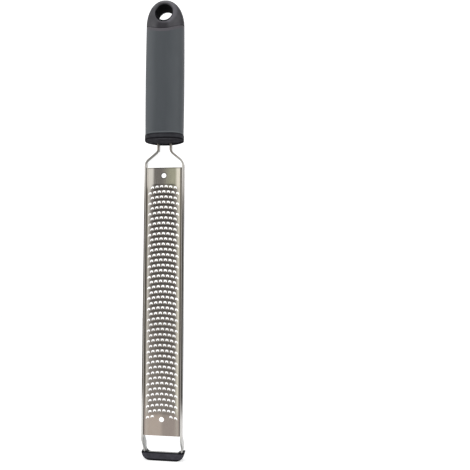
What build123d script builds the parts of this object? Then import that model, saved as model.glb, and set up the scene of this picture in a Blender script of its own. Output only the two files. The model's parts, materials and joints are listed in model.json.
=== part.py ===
"""Rasp zester: a long etched blade welded into a bent strip frame, with a moulded handle.

All lengths are in millimetres. Z runs up along the tool, from the rubber foot to the handle,
X runs across the blade, and the teeth face -Y. The origin is the centre of the hang hole.
"""
from build123d import *
import os
from math import atan, copysign, cos, degrees, pi, radians, sin, tan

# Clearances
fit_gap = 0.1             # between one moulded piece and the next, on each side
overrun = 1.0             # how far a cutting shape runs past what it cuts

# Handle section, a superellipse, and the layers in it
handle_width = 27.5       # at the two ends of the grip
handle_depth = 20.0
grip_swell = 0.25         # how much fuller the grip is halfway, on each side
handle_fullness = 2.6     # exponent of the section; 2 would be an ellipse
section_points = 24
grip_stations = 4         # stretches between the sections of the grip
grip_wall = 2.2           # soft layer over the core

# Heights along the handle, measured down from the centre of the hang hole
hole_to_grip = 8.9        # top edge of the grip at the two sides
hole_to_collar = 88.5     # lower edge of the grip

# Hang cap
cap_rise = 10.1           # from the centre of the hole up to the top of the cap
cap_fullness_x = 2.2      # exponent of the arch seen from the front
cap_fullness_y = 3.4      # exponent of the arch seen from the side
cap_stations = 9          # sections from the foot of the arch to near its top
cap_dip = 3.9             # how far the seam with the grip sags between the sides
hang_hole_radius = 6.1
hang_land = 9.0           # half the thickness of the cap at the rim of the hole
rim_round = 1.2           # rounded lip of the hole
dish_radius = 9.8         # outer edge of the shallow cone round the hole
spigot_depth = 6.0        # below the lowest point of the seam
tenon_width = 10.0
tenon_depth = 6.0
tenon_length = 14.0

# End collar and end plug
collar_height = 3.6
collar_proud = 0.3        # beyond the grip, on each side
plug_side = 0.6           # straight wall of the plug at its two sides
plug_dome_rise = 1.7      # from that wall down to the lowest point of the dome
plug_edge_round = 0.3
key_width = 4.0           # stub between the legs that locates the plug
key_depth = 6.0
key_length = 5.0

# Strip frame
strip_thickness = 1.4
strip_depth = 7.0
strip_front = -1.0        # Y of the front edge of the strip
leg_spacing = 8.9         # between the middles of the two legs
frame_width = 28.6        # over the outsides of the rails
leg_embed = 52.0          # from the dome of the plug up into the core
neck_drop = 3.6           # straight leg below the plug
neck_radius = 4.0         # bends are measured to the middle of the strip
shoulder_radius = 6.0
flare_angle = 50.0        # degrees away from the tool's axis
tip_radius = 4.6
tip_setback = 8.0         # how far the crossbar lies behind the rails
tip_lean = 50.0           # degrees; slope of the stretch that leads back to it
tip_bend_radius = 3.0
tip_straight = 5.5        # from the crossbar's underside up to the front of that stretch
lock_hole_radius = 2.0
lock_hole_inset = 8.0     # from the upper end of the leg
lock_hole_spacing = 16.0
lock_hole_count = 2

# Etched blade
blade_top_gap = 1.4       # from the end of the shoulder bends down to the blade
blade_length = 188.4
blade_thickness = 0.6
blade_flange = 3.2        # folded edge, from the front of the blade to its back
blade_bend_radius = 1.2   # outside of the folded edge
blade_to_crossbar = 16.1  # from the lower end of the blade to the crossbar's underside

# Openings and teeth of the blade
tooth_pitch = 3.32
row_pitch = 3.75
short_row_openings = 6    # the rows in between have one more
row_sag = 0.16            # drop of a row at one tooth pitch from its middle
first_row_drop = 13.6     # from the upper end of the blade to the middle of the first row
last_row_room = 12.0      # least height of the last row above the lower end of the blade
last_row_gap = 1.5        # teeth left out of the last row, each side of its middle, in pitches
opening_width = 2.3
opening_rise = 1.0        # above the middle of the opening
opening_drop = 0.95       # below it
opening_shoulder = 0.35   # height at which the sides start to lean in
opening_crown_width = 1.3
tooth_point_drop = 0.1    # point of the tooth, below the middle of the opening
tooth_height = 0.5
tooth_tail_drop = 2.3     # lower end of the ramp, below the middle of the opening
dot_radius = 1.75         # round locating holes above and below the rows
upper_dot_drop = 5.8      # from the upper end of the blade
lower_dot_rise = 11.1     # from the lower end of the blade

# Rubber foot
foot_wall = 1.0           # over the outsides of the strip
foot_lip = 1.0            # over the front and back edges of the strip
foot_pad = 3.1            # under the crossbar
foot_lip_rise = 1.4       # of the front lip above the crossbar
foot_back_drop = 0.4      # of the back lip below the top of the crossbar
foot_arm_rise = 1.7       # of the side arms above the crossbar
foot_inner_wall = 0.9     # fin on the inside of the strip
foot_inner_radius = 1.5

# Heights that follow from the sizes above
grip_side_z = -hole_to_grip
seam_low_z = grip_side_z - cap_dip
spigot_z = seam_low_z - spigot_depth
tenon_z = spigot_z - tenon_length
grip_end_z = -hole_to_collar
collar_end_z = grip_end_z - collar_height
plug_end_z = collar_end_z - plug_side - plug_dome_rise
leg_top_z = plug_end_z + leg_embed

leg_half = leg_spacing / 2
rail_half = (frame_width - strip_thickness) / 2
rail_inner_half = frame_width / 2 - strip_thickness
flare = radians(flare_angle)
lean = radians(tip_lean)
neck_corner_z = plug_end_z - neck_drop - neck_radius * tan(flare / 2)
shoulder_corner_z = neck_corner_z - (rail_half - leg_half) / tan(flare)
shoulder_end_z = shoulder_corner_z - shoulder_radius * tan(flare / 2)
blade_top_z = shoulder_end_z - blade_top_gap
blade_end_z = blade_top_z - blade_length
crossbar_under_z = blade_end_z - blade_to_crossbar
crossbar_z = crossbar_under_z + strip_thickness / 2
crossbar_top_z = crossbar_under_z + strip_thickness
foot_z = crossbar_under_z - foot_pad

row_count = int((blade_length - first_row_drop - last_row_room) / row_pitch) + 1
core_half_width = handle_width / 2 - grip_wall
core_half_depth = handle_depth / 2 - grip_wall

FRONT = Plane(origin=(0, 0, 0), x_dir=(1, 0, 0), z_dir=(0, -1, 0))
SIDE = Plane(origin=(0, 0, 0), x_dir=(0, 1, 0), z_dir=(1, 0, 0))


def superellipse_share(share, fullness):
    """Half-width left at a share of the height of a superellipse, as a share of the whole."""
    return (1 - share ** fullness) ** (1 / fullness)


def oval(half_width, half_depth, height):
    """Handle section: one closed smooth curve on a level plane."""
    points = []
    for step in range(section_points):
        turn = 2 * pi * step / section_points
        across = copysign(abs(cos(turn)) ** (2 / handle_fullness), cos(turn))
        deep = copysign(abs(sin(turn)) ** (2 / handle_fullness), sin(turn))
        points.append(Vector(half_width * across, half_depth * deep, height))
    return Face(Wire([Edge.make_spline(points, periodic=True)]))


def oval_bar(half_width, half_depth, low_z, high_z):
    """Straight length of handle between two heights."""
    return extrude(oval(half_width, half_depth, low_z), high_z - low_z, dir=(0, 0, 1))


def level_box(width, depth, low_z, high_z, middle_y=0):
    """Box centred on X, between two heights."""
    box = Box(width, depth, high_z - low_z)
    return Pos(0, middle_y, (low_z + high_z) / 2) * box


def seam_cylinder():
    """Cylinder along Y whose lower side is the curved seam between the cap and the grip."""
    half = handle_width / 2
    radius = (half ** 2 + cap_dip ** 2) / (2 * cap_dip)
    barrel = Cylinder(radius, handle_depth + 2 * overrun, rotation=(90, 0, 0))
    return Pos(0, 0, seam_low_z + radius) * barrel


def cap_dome():
    """Arched top of the handle, lofted from the foot of the arch to its crown."""
    height = cap_rise - grip_side_z
    sections = []
    for station in range(cap_stations + 1):
        share = sin(pi / 2 * station / (cap_stations + 1))
        half_width = handle_width / 2 * superellipse_share(share, cap_fullness_x)
        half_depth = handle_depth / 2 * superellipse_share(share, cap_fullness_y)
        sections.append(oval(half_width, half_depth, grip_side_z + height * share))
    return loft([*sections, Vertex(0, 0, cap_rise)])


def hang_hole_cutter():
    """The bore along Y, with its rounded lips and the shallow cones outside them."""
    far = handle_depth / 2 + overrun
    lip_start = (hang_hole_radius, hang_land - rim_round)
    lip_end = (hang_hole_radius + rim_round, hang_land)
    cone_end = (dish_radius, handle_depth / 2)
    outline = Wire([
        Line((0, 0), (hang_hole_radius, 0)),
        Line((hang_hole_radius, 0), lip_start),
        TangentArc(lip_start, lip_end, tangent=(0, 1)),
        Line(lip_end, cone_end),
        Line(cone_end, (dish_radius, far)),
        Line((dish_radius, far), (0, far)),
        Line((0, far), (0, 0)),
    ])
    half = revolve(Face(outline), Axis.Y)
    return half + mirror(half, Plane.XZ)


def hang_cap():
    """Cap with the hang hole, its spigot inside the grip and its tenon in the core."""
    skirt = oval_bar(handle_width / 2, handle_depth / 2, seam_low_z, grip_side_z)
    shell = (skirt & seam_cylinder()) + cap_dome()
    spigot = oval_bar(core_half_width, core_half_depth, spigot_z, grip_side_z)
    tenon = level_box(tenon_width, tenon_depth, tenon_z, spigot_z)
    return shell + spigot + tenon - hang_hole_cutter()


def swelling_bar(low_z, high_z):
    """Outside of the grip: a little fuller halfway than at its ends."""
    sections = []
    for station in range(grip_stations + 1):
        share = station / grip_stations
        swell = grip_swell * (1 - (2 * share - 1) ** 2)
        sections.append(oval(handle_width / 2 + swell, handle_depth / 2 + swell,
                             low_z + (high_z - low_z) * share))
    return loft(sections)


def grip_sleeve():
    """Soft sleeve moulded over the core."""
    outside = swelling_bar(grip_end_z, grip_side_z)
    inside = oval_bar(core_half_width + fit_gap, core_half_depth + fit_gap,
                      grip_end_z - overrun, grip_side_z + overrun)
    return outside - inside - seam_cylinder()


def handle_core(frame):
    """Hard core moulded round the legs of the frame and through their lock holes."""
    bar = oval_bar(core_half_width, core_half_depth, collar_end_z, spigot_z)
    socket = level_box(tenon_width + 2 * fit_gap, tenon_depth + 2 * fit_gap,
                       tenon_z - fit_gap, spigot_z)
    key_slot = level_box(key_width + 2 * fit_gap, key_depth + 2 * fit_gap,
                         collar_end_z, collar_end_z + key_length + fit_gap)
    return bar - socket - key_slot - frame


def end_collar():
    """Hard ring round the lower end of the core."""
    outside = oval_bar(handle_width / 2 + collar_proud, handle_depth / 2 + collar_proud,
                       collar_end_z, grip_end_z)
    inside = oval_bar(core_half_width + fit_gap, core_half_depth + fit_gap,
                      collar_end_z - overrun, grip_end_z + overrun)
    return outside - inside


def end_plug(frame):
    """Domed end of the handle, slotted for the legs, with a key that enters the core."""
    half = handle_width / 2 + collar_proud
    block = oval_bar(half, handle_depth / 2 + collar_proud, plug_end_z, collar_end_z)
    dome_radius = (half ** 2 + plug_dome_rise ** 2) / (2 * plug_dome_rise)
    dome = Pos(0, 0, plug_end_z + dome_radius) * Sphere(dome_radius)
    body = block & dome
    rim = [edge for edge in body.edges() if plug_end_z < edge.center().Z < collar_end_z]
    body = fillet(rim, plug_edge_round)
    key = level_box(key_width, key_depth, collar_end_z, collar_end_z + key_length)
    return body + key - frame


def strip_path():
    """Middle line of the strip, from the top of one leg round the tip to the other."""
    right = [(leg_half, leg_top_z), (leg_half, neck_corner_z),
             (rail_half, shoulder_corner_z), (rail_half, crossbar_z)]
    left = [(-across, height) for across, height in reversed(right)]
    bends = [neck_radius, shoulder_radius, tip_radius]
    line = FilletPolyline(*right, *left, radius=bends + bends[::-1])
    return FRONT * line


def bent_line(inset):
    """Side line that runs straight down and steps back at the tip, a depth behind the front edge."""
    near_y = strip_front + inset
    far_y = near_y + tip_setback
    far_z = crossbar_under_z + tip_straight + inset * tan(lean / 2)
    near_z = far_z + tip_setback / tan(lean)
    corners = [(near_y, leg_top_z + overrun), (near_y, near_z), (far_y, far_z), (far_y, foot_z - overrun)]
    return FilletPolyline(*corners, radius=tip_bend_radius)


def bent_side(margin):
    """Side outline of what follows the strip's depth and its bend at the tip, run across X."""
    front = bent_line(-margin)
    back = bent_line(strip_depth + margin)
    ends = [Line(front @ 0, back @ 0), Line(front @ 1, back @ 1)]
    outline = Wire([*front.edges(), *back.edges(), *ends])
    return extrude(SIDE * Face(outline), frame_width, both=True)


def frame_band():
    """One flat strip bent into legs, flare, rails and tip, with the lock holes of its legs."""
    path = strip_path()
    reach = strip_depth + tip_setback + 2 * overrun
    section = Plane(origin=path @ 0, x_dir=(1, 0, 0), z_dir=path % 0) * Rectangle(strip_thickness, reach)
    strip = Pos(0, strip_front - overrun + reach / 2, 0) * sweep(section, path)
    band = strip & bent_side(0)
    middle_y = strip_front + strip_depth / 2
    for index in range(lock_hole_count):
        height = leg_top_z - lock_hole_inset - index * lock_hole_spacing
        drill = Cylinder(lock_hole_radius, leg_spacing + 2 * strip_thickness, rotation=(0, 90, 0))
        band -= Pos(0, middle_y, height) * drill
    return band


def tooth_places():
    """Place of each opening on the face of the blade: across, height and lean in degrees."""
    first_z = blade_top_z - first_row_drop
    places = []
    for row in range(row_count):
        openings = short_row_openings + row % 2
        for index in range(openings):
            step = index - (openings - 1) / 2
            if row == row_count - 1 and abs(step) < last_row_gap:
                continue
            height = first_z - row * row_pitch - row_sag * step ** 2
            lean = -degrees(atan(2 * row_sag * step / tooth_pitch))
            places.append((step * tooth_pitch, height, lean))
    return places


def opening_outline():
    """One opening: an arched slot with the point of its tooth let into the lower edge."""
    half = opening_width / 2
    crown = opening_crown_width / 2
    corners = [(-half, -opening_drop), (-half, opening_shoulder), (-crown, opening_rise),
               (crown, opening_rise), (half, opening_shoulder), (half, -opening_drop),
               (0, -tooth_point_drop)]
    return Wire.make_polygon([Vector(across, height) for across, height in corners])


def raised_tooth():
    """One tooth: a point that stands off the face above the opening, and its ramp below."""
    half = opening_width / 2
    point = Vector(0, -tooth_point_drop)
    raised = Vector(0, -tooth_point_drop, tooth_height)
    left = Vector(-half, -opening_drop)
    right = Vector(half, -opening_drop)
    tail = Vector(0, -tooth_tail_drop)
    sides = [(point, right, raised), (point, raised, left), (raised, right, tail),
             (raised, tail, left), (point, left, tail, right)]
    return Solid(Shell([Face(Wire.make_polygon(corners)) for corners in sides]))


def rasp_blade():
    """Etched blade: a holed web with raised teeth, and edges folded back along the rails."""
    web_half = rail_inner_half - blade_bend_radius
    outer = Pos(0, (blade_top_z + blade_end_z) / 2) * Rectangle(2 * web_half, blade_length)
    places = [Location((across, height, 0), (0, 0, 1), lean)
              for across, height, lean in tooth_places()]
    holes = [opening_outline().moved(place) for place in places]
    for height in (blade_top_z - upper_dot_drop, blade_end_z + lower_dot_rise):
        holes.append(Wire.make_circle(dot_radius, Plane((0, height, 0))))
    web = extrude(Face(outer.face().outer_wire(), holes), -blade_thickness)
    blade = web.fuse(*[raised_tooth().moved(place) for place in places])
    blade = Pos(0, strip_front, 0) * (FRONT * blade)
    return blade + folded_edge(1) + folded_edge(-1)


def folded_edge(side):
    """Folded edge of the blade on one side: a quarter bend and a short flange."""
    web_half = rail_inner_half - blade_bend_radius
    inner_radius = blade_bend_radius - blade_thickness
    inner_half = rail_inner_half - blade_thickness
    bend_y = strip_front + blade_bend_radius
    back_y = strip_front + blade_flange
    outline = Wire([
        Line((web_half, strip_front), (web_half, strip_front + blade_thickness)),
        TangentArc((web_half, strip_front + blade_thickness), (inner_half, bend_y), tangent=(1, 0)),
        Line((inner_half, bend_y), (inner_half, back_y)),
        Line((inner_half, back_y), (rail_inner_half, back_y)),
        Line((rail_inner_half, back_y), (rail_inner_half, bend_y)),
        TangentArc((rail_inner_half, bend_y), (web_half, strip_front), tangent=(0, -1)),
    ])
    edge = Pos(0, 0, blade_end_z) * extrude(Face(outline), blade_length, dir=(0, 0, 1))
    return edge if side > 0 else mirror(edge, Plane.YZ)


def foot_outline(half_width, low_z, high_z, corner_radius):
    """Front outline of the foot or of the window in it, with rounded lower corners."""
    corners = [(-half_width, high_z), (-half_width, low_z), (half_width, low_z), (half_width, high_z)]
    sides = FilletPolyline(*corners, radius=corner_radius)
    lid = Line((half_width, high_z), (-half_width, high_z))
    reach = strip_depth + tip_setback + 2 * (foot_lip + overrun)
    face = FRONT * Face(Wire([*sides.edges(), lid]))
    return Pos(0, strip_front - foot_lip - overrun, 0) * extrude(face, reach, dir=(0, 1, 0))


def tip_foot(frame):
    """Soft foot: a channel round the crossbar, with arms up the corners of the strip."""
    half = frame_width / 2 + foot_wall
    corner = tip_radius + strip_thickness / 2 + foot_wall
    lip_z = crossbar_top_z + foot_lip_rise
    arm_z = crossbar_top_z + foot_arm_rise
    inner_half = rail_inner_half - foot_inner_wall
    reach = 2 * (strip_depth + tip_setback + foot_lip)
    block = foot_outline(half, foot_z, arm_z + corner, corner)
    block &= level_box(2 * frame_width, reach, foot_z, arm_z)
    open_z = arm_z + overrun + foot_inner_radius
    window = foot_outline(inner_half, lip_z, open_z, foot_inner_radius)
    tray = foot_outline(inner_half, crossbar_top_z, open_z, foot_inner_radius) & bent_side(0)
    channel = block & bent_side(foot_lip)
    back_cut = level_box(2 * frame_width, 2 * (foot_lip + overrun),
                         crossbar_top_z - foot_back_drop, arm_z + overrun)
    back_y = strip_front + strip_depth + tip_setback
    channel -= Pos(0, back_y + foot_lip + overrun, 0) * back_cut
    notch_width = strip_thickness + foot_wall + overrun
    notch = level_box(notch_width, 2 * frame_width, lip_z, arm_z)
    for side in (-1, 1):
        channel -= Pos(side * (rail_inner_half + notch_width / 2), 0, 0) * notch
    arms = block & bent_side(0)
    return channel + arms - window - tray - frame


def build():
    """Every piece of the tool, by name."""
    frame = frame_band()
    return {
        "frame_band": frame,
        "rasp_blade": rasp_blade(),
        "tip_foot": tip_foot(frame),
        "handle_core": handle_core(frame),
        "grip_sleeve": grip_sleeve(),
        "hang_cap": hang_cap(),
        "end_collar": end_collar(),
        "end_plug": end_plug(frame),
    }


os.makedirs("parts", exist_ok=True)
for name, piece in build().items():
    export_step(piece, f"parts/{name}.step")
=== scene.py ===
"""Looks of the rasp zester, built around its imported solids.

Metres, with sizes written in millimetres and turned by MM. Z runs up along the tool, X across the
blade, the teeth face -Y, and the origin is the centre of the hang hole.
"""
import json
import logging
import math
from dataclasses import dataclass
from enum import Enum
from typing import Callable, Sequence

import bpy
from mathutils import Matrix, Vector

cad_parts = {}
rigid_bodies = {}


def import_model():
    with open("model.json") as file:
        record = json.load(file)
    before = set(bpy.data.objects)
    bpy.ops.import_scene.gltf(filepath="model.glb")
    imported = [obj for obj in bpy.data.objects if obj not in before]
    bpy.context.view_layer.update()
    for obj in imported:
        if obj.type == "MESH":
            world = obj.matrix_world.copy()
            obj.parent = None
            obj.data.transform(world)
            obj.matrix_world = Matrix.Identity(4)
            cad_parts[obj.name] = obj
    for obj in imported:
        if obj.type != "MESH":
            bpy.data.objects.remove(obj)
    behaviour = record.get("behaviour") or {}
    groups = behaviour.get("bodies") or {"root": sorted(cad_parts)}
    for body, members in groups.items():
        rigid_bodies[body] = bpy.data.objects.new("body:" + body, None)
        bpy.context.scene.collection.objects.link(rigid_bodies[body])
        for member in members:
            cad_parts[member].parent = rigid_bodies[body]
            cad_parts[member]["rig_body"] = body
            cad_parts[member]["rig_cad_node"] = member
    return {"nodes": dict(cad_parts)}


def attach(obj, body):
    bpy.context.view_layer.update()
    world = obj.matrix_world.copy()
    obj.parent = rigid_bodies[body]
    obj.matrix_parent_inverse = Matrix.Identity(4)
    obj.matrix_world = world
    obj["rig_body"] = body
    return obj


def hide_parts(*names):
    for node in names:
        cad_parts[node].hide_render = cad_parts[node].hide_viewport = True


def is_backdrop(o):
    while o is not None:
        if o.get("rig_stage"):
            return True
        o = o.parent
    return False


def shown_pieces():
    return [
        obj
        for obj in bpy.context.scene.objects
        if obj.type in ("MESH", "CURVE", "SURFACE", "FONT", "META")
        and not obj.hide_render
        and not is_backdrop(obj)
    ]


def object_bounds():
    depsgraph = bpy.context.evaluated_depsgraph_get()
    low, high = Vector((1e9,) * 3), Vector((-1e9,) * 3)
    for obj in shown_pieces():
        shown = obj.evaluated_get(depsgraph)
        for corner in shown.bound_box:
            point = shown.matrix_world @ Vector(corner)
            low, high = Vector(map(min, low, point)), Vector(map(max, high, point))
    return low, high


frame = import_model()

MM = 0.001
FAR = 400.0
Piece = bpy.types.Object
Material = bpy.types.Material
Point = tuple[float, float, float]
Flat = tuple[float, float]
Colour = tuple[float, float, float]
Span = tuple[float, float]
Level = float | Callable[[float, float], float]
LOOKS = ("Camera", "Glossy", "Transmission")
log = logging.getLogger("rasp")


class Side(Enum):
    """Left or right half of the tool, by the sign of X."""

    LEFT = -1
    RIGHT = 1


def clear_selection() -> None:
    """Leave edit mode and select nothing."""
    if bpy.context.object and bpy.context.object.mode != "OBJECT":
        bpy.ops.object.mode_set(mode="OBJECT")
    bpy.ops.object.select_all(action="DESELECT")


def take(*pieces: Piece) -> None:
    """Select these pieces and nothing else; the first becomes the active one.

    Args:
        pieces: the objects to work on.
    """
    clear_selection()
    for piece in pieces:
        piece.select_set(True)
    bpy.context.view_layer.objects.active = pieces[0]


def choose(mesh: bpy.types.Mesh, chosen: Sequence[bool]) -> None:
    """Select some of a mesh's points and the edges between them, and nothing else.

    Args:
        mesh: the mesh.
        chosen: for each point, whether it is wanted.
    """
    mesh.polygons.foreach_set("select", [False] * len(mesh.polygons))
    mesh.vertices.foreach_set("select", chosen)
    for edge in mesh.edges:
        edge.select = chosen[edge.vertices[0]] and chosen[edge.vertices[1]]


def edit_where(piece: Piece, test: Callable[[Vector], bool]) -> None:
    """Enter edit mode with only the points that pass a test selected.

    Args:
        piece: the mesh to edit.
        test: says for a point's place, in metres, whether it is wanted.
    """
    take(piece)
    choose(piece.data, [test(vertex.co) for vertex in piece.data.vertices])
    bpy.ops.object.mode_set(mode="EDIT")
    bpy.ops.mesh.select_mode(type="VERT")


def apply_modifier(piece: Piece, kind: str, **settings: object) -> None:
    """Add a modifier, set it and apply it.

    Args:
        piece: the object that gets it.
        kind: the modifier's type, such as "SOLIDIFY".
        settings: its settings, by name.
    """
    take(piece)
    modifier = piece.modifiers.new(kind.title(), kind)
    for name, value in settings.items():
        setattr(modifier, name, value)
    bpy.ops.object.modifier_apply(modifier=modifier.name)


def loft(name: str, rings: Sequence[Sequence[Point]]) -> Piece:
    """Extrude one closed ring of points through the rings that follow it.

    Args:
        name: the new piece's name.
        rings: rings with the same number of points each, in millimetres.

    Returns:
        The open tube through the rings.
    """
    count = len(rings[0])
    clear_selection()
    bpy.ops.mesh.primitive_circle_add(vertices=count, fill_type="NOTHING")
    piece = bpy.context.object
    piece.name = name
    place_points(piece, 0, rings[0])
    for step, ring in enumerate(rings[1:], 1):
        take(piece)
        choose(piece.data, [index >= (step - 1) * count for index in range(step * count)])
        bpy.ops.object.mode_set(mode="EDIT")
        bpy.ops.mesh.extrude_region_move()
        bpy.ops.object.mode_set(mode="OBJECT")
        place_points(piece, step * count, ring)
    return piece


def place_points(piece: Piece, first: int, points: Sequence[Point]) -> None:
    """Move a run of a mesh's points to their places.

    Args:
        piece: the mesh.
        first: number of the first point to move.
        points: their places, in millimetres.
    """
    for offset, point in enumerate(points):
        piece.data.vertices[first + offset].co = Vector(point) * MM


def edit_open_edges(piece: Piece) -> None:
    """Enter edit mode with only the open edges of a mesh selected.

    Args:
        piece: the open mesh.
    """
    take(piece)
    bpy.ops.object.mode_set(mode="EDIT")
    bpy.ops.mesh.select_all(action="DESELECT")
    bpy.ops.mesh.select_mode(type="VERT")
    bpy.ops.mesh.select_non_manifold()


def close_ends(piece: Piece) -> None:
    """Fill each open end of a tube with a flat face, and turn all faces outwards.

    Args:
        piece: the tube.
    """
    edit_open_edges(piece)
    bpy.ops.mesh.edge_face_add()
    face_outwards(piece)


def join_first_and_last(piece: Piece) -> None:
    """Bridge the two open ends of a tube, so that it closes on itself.

    Args:
        piece: the tube.
    """
    edit_open_edges(piece)
    bpy.ops.mesh.bridge_edge_loops()
    face_outwards(piece)


def face_outwards(piece: Piece, reach: float = 0.0005) -> None:
    """Merge points that lie together, turn all faces outwards and leave edit mode.

    Args:
        piece: the mesh.
        reach: points nearer than this merge, in millimetres.
    """
    take(piece)
    bpy.ops.object.mode_set(mode="EDIT")
    bpy.ops.mesh.select_all(action="SELECT")
    bpy.ops.mesh.remove_doubles(threshold=reach * MM)
    bpy.ops.mesh.normals_make_consistent(inside=False)
    bpy.ops.object.mode_set(mode="OBJECT")


def cut(piece: Piece, cutter: Piece) -> None:
    """Take a cutter's shape out of a piece, and remove the cutter.

    Args:
        piece: the mesh that is cut.
        cutter: the closed mesh to take away.
    """
    apply_modifier(piece, "BOOLEAN", operation="DIFFERENCE", solver="EXACT", object=cutter)
    bpy.data.objects.remove(cutter)


def mould(piece: Piece, grain: float, passes: int) -> None:
    """Soften a piece all over, as a mould leaves it, with small rounds on its edges.

    Args:
        piece: the closed mesh.
        grain: size of the new faces, in millimetres.
        passes: how many times the rounds are smoothed.
    """
    apply_modifier(piece, "REMESH", mode="VOXEL", voxel_size=grain * MM, adaptivity=0.0)
    apply_modifier(piece, "SMOOTH", factor=0.5, iterations=passes)


def finish_piece(piece: Piece, node: str, material: Material, angle: float = 40.0) -> Piece:
    """Dress a piece and let it stand for its solid.

    Args:
        piece: the new mesh.
        node: the solid that it replaces.
        material: the finish.
        angle: edges sharper than this many degrees stay sharp.

    Returns:
        The same piece.
    """
    take(piece)
    bpy.ops.object.shade_smooth_by_angle(angle=math.radians(angle))
    piece.data.materials.clear()
    piece.data.materials.append(material)
    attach(piece, "root")
    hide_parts(node)
    log.info("%s: %d faces", piece.name, len(piece.data.polygons))
    return piece


class Value:
    """One socket of a material, on which sums are written as plain expressions."""

    def __init__(self, recipe: "Recipe", socket: bpy.types.NodeSocket) -> None:
        """Remember the recipe and the socket."""
        self.recipe = recipe
        self.socket = socket

    def _sum(self, operation: str, *terms: "Value | float", clamp: bool = False) -> "Value":
        """Add a Math node.

        Args:
            operation: the node's operation.
            terms: its inputs, in order.
            clamp: whether the result stays between 0 and 1.

        Returns:
            The node's result.
        """
        settings = {"operation": operation, "use_clamp": clamp}
        return self.recipe.node("ShaderNodeMath", settings, dict(enumerate(terms)))

    def __add__(self, other: "Value | float") -> "Value":
        """Sum."""
        return self._sum("ADD", self, other)

    __radd__ = __add__

    def __mul__(self, other: "Value | float") -> "Value":
        """Product."""
        return self._sum("MULTIPLY", self, other)

    __rmul__ = __mul__

    def __sub__(self, other: "Value | float") -> "Value":
        """Difference."""
        return self._sum("SUBTRACT", self, other)

    def __rsub__(self, other: float) -> "Value":
        """Difference from a number."""
        return self._sum("SUBTRACT", other, self)

    def __truediv__(self, other: "Value | float") -> "Value":
        """Quotient."""
        return self._sum("DIVIDE", self, other)

    def __abs__(self) -> "Value":
        """Size without its sign."""
        return self._sum("ABSOLUTE", self)

    def fraction(self) -> "Value":
        """What is left over the whole number below."""
        return self._sum("FRACT", self)

    def root(self) -> "Value":
        """Square root."""
        return self._sum("SQRT", self)

    def clamp(self) -> "Value":
        """Kept between 0 and 1."""
        return self._sum("ADD", self, 0.0, clamp=True)

    def rise(self, start: float, end: float) -> "Value":
        """Smooth step.

        Args:
            start: where it leaves 0.
            end: where it reaches 1; below start for a step down.

        Returns:
            A value from 0 to 1.
        """
        settings = {"interpolation_type": "SMOOTHSTEP"}
        low, high = min(start, end), max(start, end)
        inputs = {"Value": self, "From Min": low, "From Max": high}
        step = self.recipe.node("ShaderNodeMapRange", settings, inputs)
        return step if start < end else 1 - step


class Recipe:
    """The node tree of one procedural material, or of the sky."""

    def __init__(self, owner: Material | bpy.types.World) -> None:
        """Start with an empty tree.

        Args:
            owner: the new material or world that the tree belongs to.
        """
        self.owner = owner
        owner.use_nodes = True
        self.tree = owner.node_tree
        self.tree.nodes.clear()

    def node(self, kind: str, settings: dict, inputs: dict, output: int | str = 0) -> Value | None:
        """Add any node.

        Args:
            kind: the node's type.
            settings: its settings, which are set first.
            inputs: values or links of its sockets, by name or number.
            output: the socket to give back.

        Returns:
            The chosen output, or nothing for the node that ends a tree.
        """
        made = self.tree.nodes.new(kind)
        for name, value in settings.items():
            setattr(made, name, value)
        for name, value in inputs.items():
            if isinstance(value, Value):
                self.tree.links.new(value.socket, made.inputs[name])
            else:
                made.inputs[name].default_value = value
        return Value(self, made.outputs[output]) if made.outputs else None

    def looked_at(self) -> Value:
        """Tell what the eye, reflections and clear matter see from what only gives light.

        Returns:
            1 where the surface is looked at.
        """
        kinds = [self.node("ShaderNodeLightPath", {}, {}, f"Is {kind} Ray") for kind in LOOKS]
        return (kinds[0] + kinds[1] + kinds[2]).clamp()

    def place(self) -> tuple[Value, Value, Value]:
        """The place on the piece.

        Returns:
            X, Y and Z in millimetres.
        """
        spot = self.node("ShaderNodeTexCoord", {}, {}, "Object")
        parts = self.node("ShaderNodeSeparateXYZ", {}, {0: spot})
        outputs = parts.socket.node.outputs
        return tuple(Value(self, outputs[i]) * (1 / MM) for i in range(3))

    def noise(self, *size: float, detail: float = 3.0) -> Value:
        """Soft noise over the piece.

        Args:
            size: rough size of its spots, or their sizes along X, Y and Z, in millimetres.
            detail: how many finer layers it has.

        Returns:
            A value around 0.5.
        """
        spot = self.node("ShaderNodeTexCoord", {}, {}, "Object")
        lengths = size if len(size) == 3 else size * 3
        scale = tuple(1 / (length * MM) for length in lengths)
        spot = self.node("ShaderNodeVectorMath", {"operation": "MULTIPLY"}, {0: spot, 1: scale})
        return self.node("ShaderNodeTexNoise", {}, {"Vector": spot, "Scale": 1.0, "Detail": detail})

    def blend(self, share: "Value | float", first: "Value | Colour", second: "Value | Colour") -> Value:
        """Mix two colours.

        Args:
            share: 0 gives the first and 1 the second.
            first: a colour or a link.
            second: a colour or a link.

        Returns:
            The mixed colour.
        """
        inputs = {0: share, 6: opaque(first), 7: opaque(second)}
        return self.node("ShaderNodeMix", {"data_type": "RGBA", "clamp_factor": True}, inputs, 2)

    def relief(self, height: Value, depth: float, strength: float = 1.0) -> Value:
        """Bump.

        Args:
            height: the relief, from 0 to 1.
            depth: its full height, in millimetres.
            strength: how much of it shows.

        Returns:
            A normal.
        """
        inputs = {"Height": height, "Distance": depth * MM, "Strength": strength}
        return self.node("ShaderNodeBump", {}, inputs)

    def surface(self, inputs: dict) -> Material:
        """Close the tree with one Principled surface.

        Args:
            inputs: values or links of its sockets.

        Returns:
            The finished material.
        """
        shader = self.node("ShaderNodeBsdfPrincipled", {}, inputs)
        self.node("ShaderNodeOutputMaterial", {}, {"Surface": shader})
        return self.owner


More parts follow.
